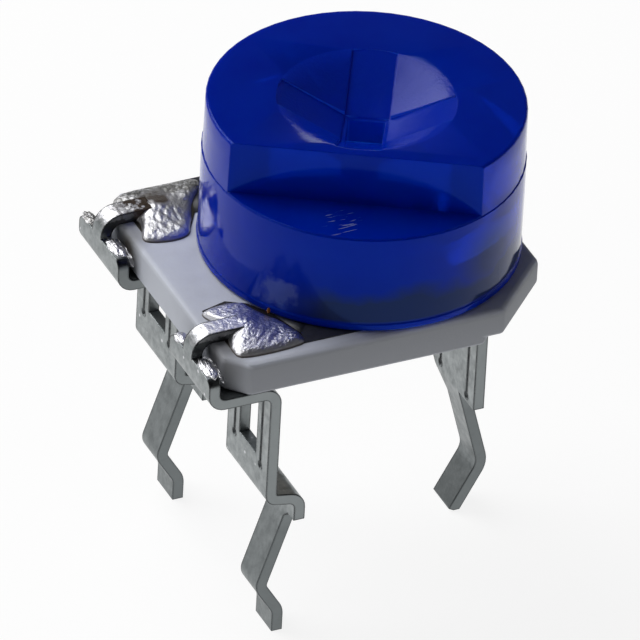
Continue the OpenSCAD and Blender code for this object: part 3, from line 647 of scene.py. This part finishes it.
class TrimmerStage(bpy.types.PropertyGroup):
    azimuth: FloatProperty(name="Camera azimuth", description="Camera's turn about +Z, from -Y",
                           default=math.radians(-26.306), subtype="ANGLE")
    elevation: FloatProperty(name="Camera elevation", description="Camera's height angle",
                             default=math.radians(34.280), subtype="ANGLE")
    roll: FloatProperty(name="Camera roll", description="Camera's tilt about its own line of sight",
                        default=math.radians(3.288), subtype="ANGLE")
    distance: FloatProperty(name="Camera distance", description="To the middle of the knob's rim",
                            default=382.43 * MM, unit="LENGTH")
    focal_pixels: FloatProperty(name="Focal length in pixels", description="At the picture's size",
                                default=18656.0)
    floor_size: FloatProperty(name="Floor size", description="Side of the floor",
                              default=0.4, min=0.1, unit="LENGTH")
    paper: hue("Paper", "Shade of the floor's paper under the light from below", "#747474")


class TRIMMER_OT_plate(bpy.types.Operator):
    """Finishes the ceramic plate and the prints on it"""
    bl_idname = "trimmer.plate"
    bl_label = "Ceramic plate and prints"

    def execute(self, context):
        sizes, colours = context.scene.trimmer_sizes, context.scene.trimmer_colours
        merged_copy("ceramic_plate", "base", fired_alumina(colours),
                    sizes.plate_round)
        paste = resistor_paste(colours)
        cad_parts["resistive_track"].data.materials.clear()
        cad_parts["resistive_track"].data.materials.append(paste)
        # No face of the prints lies in a face of the plate or of a pad.
        low, high = PAD_LOW.z / MM + 0.001, PAD_HIGH.z / MM - 0.002
        for name, side in (("print_end_1", 1), ("print_end_3", -1)):
            corners = [(x, PRINT_MIDDLE + side * y) for x, y in PRINT_CORNERS]
            points, faces = print_patch(corners, low, high)
            mesh_object(name, points, faces, "base", paste)
        silver = silver_paste(colours)
        for node in ("end_pad_1", "end_pad_3"):
            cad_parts[node].data.materials.clear()
            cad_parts[node].data.materials.append(silver)
        return {"FINISHED"}


class TRIMMER_OT_terminals(bpy.types.Operator):
    """Finishes the three folded terminals"""
    bl_idname = "trimmer.terminals"
    bl_label = "Terminals"

    def execute(self, context):
        sizes, colours = context.scene.trimmer_sizes, context.scene.trimmer_colours
        tin = tinned_steel(colours)
        for node in ("terminal_1", "terminal_2", "terminal_3"):
            merged_copy(node, "base", tin, sizes.sheet_round)
        return {"FINISHED"}


class TRIMMER_OT_solder(bpy.types.Operator):
    """Finishes the two solder joints"""
    bl_idname = "trimmer.solder"
    bl_label = "Solder joints"

    def execute(self, context):
        colours = context.scene.trimmer_colours
        solder = bright_solder(colours)
        pools = (("solder_pool_1", "solder_joint_1",
                  solder_pool(REAR_POOL, (-3.55, 2.3), 0.13, 0.13, 3)),
                 ("solder_pool_3", "solder_joint_3",
                  solder_pool(FRONT_POOL, (-3.6, -2.2), 0.13, 0.12, 8)))
        for name, node, (points, faces) in pools:
            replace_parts(mesh_object(name, points, faces, "base", solder), node)
        for name, lump in LUMPS.items():
            points, faces = blob(*lump)
            mesh_object(name, points, faces, "base", solder)
        points, faces = blob(*FLUX_BEAD)
        mesh_object("flux_bead", points, faces, "base", amber_flux(colours))
        return {"FINISHED"}


class TRIMMER_OT_knob(bpy.types.Operator):
    """Finishes the turning knob"""
    bl_idname = "trimmer.knob"
    bl_label = "Knob"

    def execute(self, context):
        sizes, colours = context.scene.trimmer_sizes, context.scene.trimmer_colours
        merged_copy("knob", "rotor", clear_blue_plastic(colours), sizes.knob_round)
        return {"FINISHED"}


class TRIMMER_OT_pivot(bpy.types.Operator):
    """Finishes the rivet and the wiper spring"""
    bl_idname = "trimmer.pivot"
    bl_label = "Rivet and wiper"

    def execute(self, context):
        sizes, colours = context.scene.trimmer_sizes, context.scene.trimmer_colours
        brass = rolled_brass(colours)
        merged_copy("pivot_rivet", "base", brass, sizes.rivet_round)
        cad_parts["wiper_spring"].data.materials.clear()
        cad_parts["wiper_spring"].data.materials.append(brass)
        return {"FINISHED"}


def aim(thing, target, up=Vector((0, 0, 1))):
    """Turns a camera or light so that it looks from its place to target, with up upwards."""
    back = (thing.location - target).normalized()
    side = up.cross(back).normalized()
    thing.rotation_euler = Matrix((side, back.cross(side), back)).transposed().to_euler()


def outward(turn, height):
    """The unit vector at a turn about +Z from +X and a height angle above the plate, in radians."""
    flat = math.cos(height)
    return Vector((math.cos(turn) * flat, math.sin(turn) * flat, math.sin(height)))


class TRIMMER_OT_stage(bpy.types.Operator):
    """Sets the floor, the lights and the camera"""
    bl_idname = "trimmer.stage"
    bl_label = "Stage"

    def execute(self, context):
        scene, stage = context.scene, context.scene.trimmer_stage
        half = stage.floor_size / 2
        mesh = bpy.data.meshes.new("floor")
        corners = ((-half, -half), (half, -half), (half, half), (-half, half))
        mesh.from_pydata([(x, y, LEAD_LOW.z) for x, y in corners], [], [(0, 1, 2, 3)])
        mesh.materials.append(studio_paper(stage.paper))
        floor = bpy.data.objects.new("floor", mesh)
        scene.collection.objects.link(floor)
        world = bpy.data.worlds.new("studio")
        scene.world = world
        world.use_nodes = True
        world.node_tree.nodes["Background"].inputs["Color"].default_value = linear("#FFFFFF")
        world.node_tree.nodes["Background"].inputs["Strength"].default_value = 0.06
        # Angles in degrees, distance and side in metres, power in watts.
        for name, turn, height, far, size, power in (
                ("back left softbox", 122, 48, 0.22, 0.19, 0.40),
                ("left softbox", -170, 22, 0.25, 0.12, 0.05),
                ("rear strip light", 60, 9, 0.30, 0.05, 0.011)):
            light = bpy.data.lights.new(name, "AREA")
            light.shape = "SQUARE"
            light.size = size
            light.energy = power
            lamp = bpy.data.objects.new(name, light)
            lamp.location = outward(math.radians(turn), math.radians(height)) * far
            aim(lamp, Vector((0, 0, 4 * MM)))
            scene.collection.objects.link(lamp)
        back = outward(stage.azimuth - math.pi / 2, stage.elevation)
        right = outward(stage.azimuth, 0)
        up = back.cross(right)
        view_right = right * math.cos(stage.roll) + up * math.sin(stage.roll)
        view_up = up * math.cos(stage.roll) - right * math.sin(stage.roll)
        lens = bpy.data.cameras.new("camera")
        lens.sensor_width = SENSOR
        lens.lens = SENSOR * stage.focal_pixels / PICTURE
        lens.clip_start = 0.01
        lens.clip_end = 10.0
        camera = bpy.data.objects.new("camera", lens)
        rim = Vector((0, 0, KNOB_LOW.z))
        camera.location = rim + back * stage.distance
        # The camera looks at the point that stands in the middle of the picture.
        pixel = stage.distance / stage.focal_pixels
        right_by, down_by = PICTURE / 2 - AXIS_AT[0], PICTURE / 2 - AXIS_AT[1]
        aim(camera, rim + (view_right * right_by - view_up * down_by) * pixel, view_up)
        scene.collection.objects.link(camera)
        scene.camera = camera
        scene.view_settings.view_transform = "Standard"
        return {"FINISHED"}


class TRIMMER_PT_pieces(bpy.types.Panel):
    bl_label = "Trimmer potentiometer"
    bl_idname = "TRIMMER_PT_pieces"
    bl_space_type = "VIEW_3D"
    bl_region_type = "UI"
    bl_category = "Trimmer"

    def draw(self, context):
        scene = context.scene
        for group in (scene.trimmer_sizes, scene.trimmer_colours, scene.trimmer_stage):
            box = self.layout.box()
            for name in group.__annotations__:
                box.prop(group, name)
        for operator in OPERATORS:
            self.layout.operator(operator.bl_idname)


GROUPS = (TrimmerSizes, TrimmerColours, TrimmerStage)
OPERATORS = (TRIMMER_OT_plate, TRIMMER_OT_terminals, TRIMMER_OT_solder, TRIMMER_OT_knob,
             TRIMMER_OT_pivot, TRIMMER_OT_stage)


def register():
    for cls in GROUPS + OPERATORS + (TRIMMER_PT_pieces,):
        bpy.utils.register_class(cls)
    bpy.types.Scene.trimmer_sizes = PointerProperty(type=TrimmerSizes)
    bpy.types.Scene.trimmer_colours = PointerProperty(type=TrimmerColours)
    bpy.types.Scene.trimmer_stage = PointerProperty(type=TrimmerStage)


def unregister():
    del bpy.types.Scene.trimmer_stage
    del bpy.types.Scene.trimmer_colours
    del bpy.types.Scene.trimmer_sizes
    for cls in reversed(GROUPS + OPERATORS + (TRIMMER_PT_pieces,)):
        bpy.utils.unregister_class(cls)


def main():
    """Builds everything in order."""
    register()
    bpy.ops.trimmer.plate()
    bpy.ops.trimmer.terminals()
    bpy.ops.trimmer.solder()
    bpy.ops.trimmer.knob()
    bpy.ops.trimmer.pivot()
    bpy.ops.trimmer.stage()


if __name__ == "__main__":
    main()
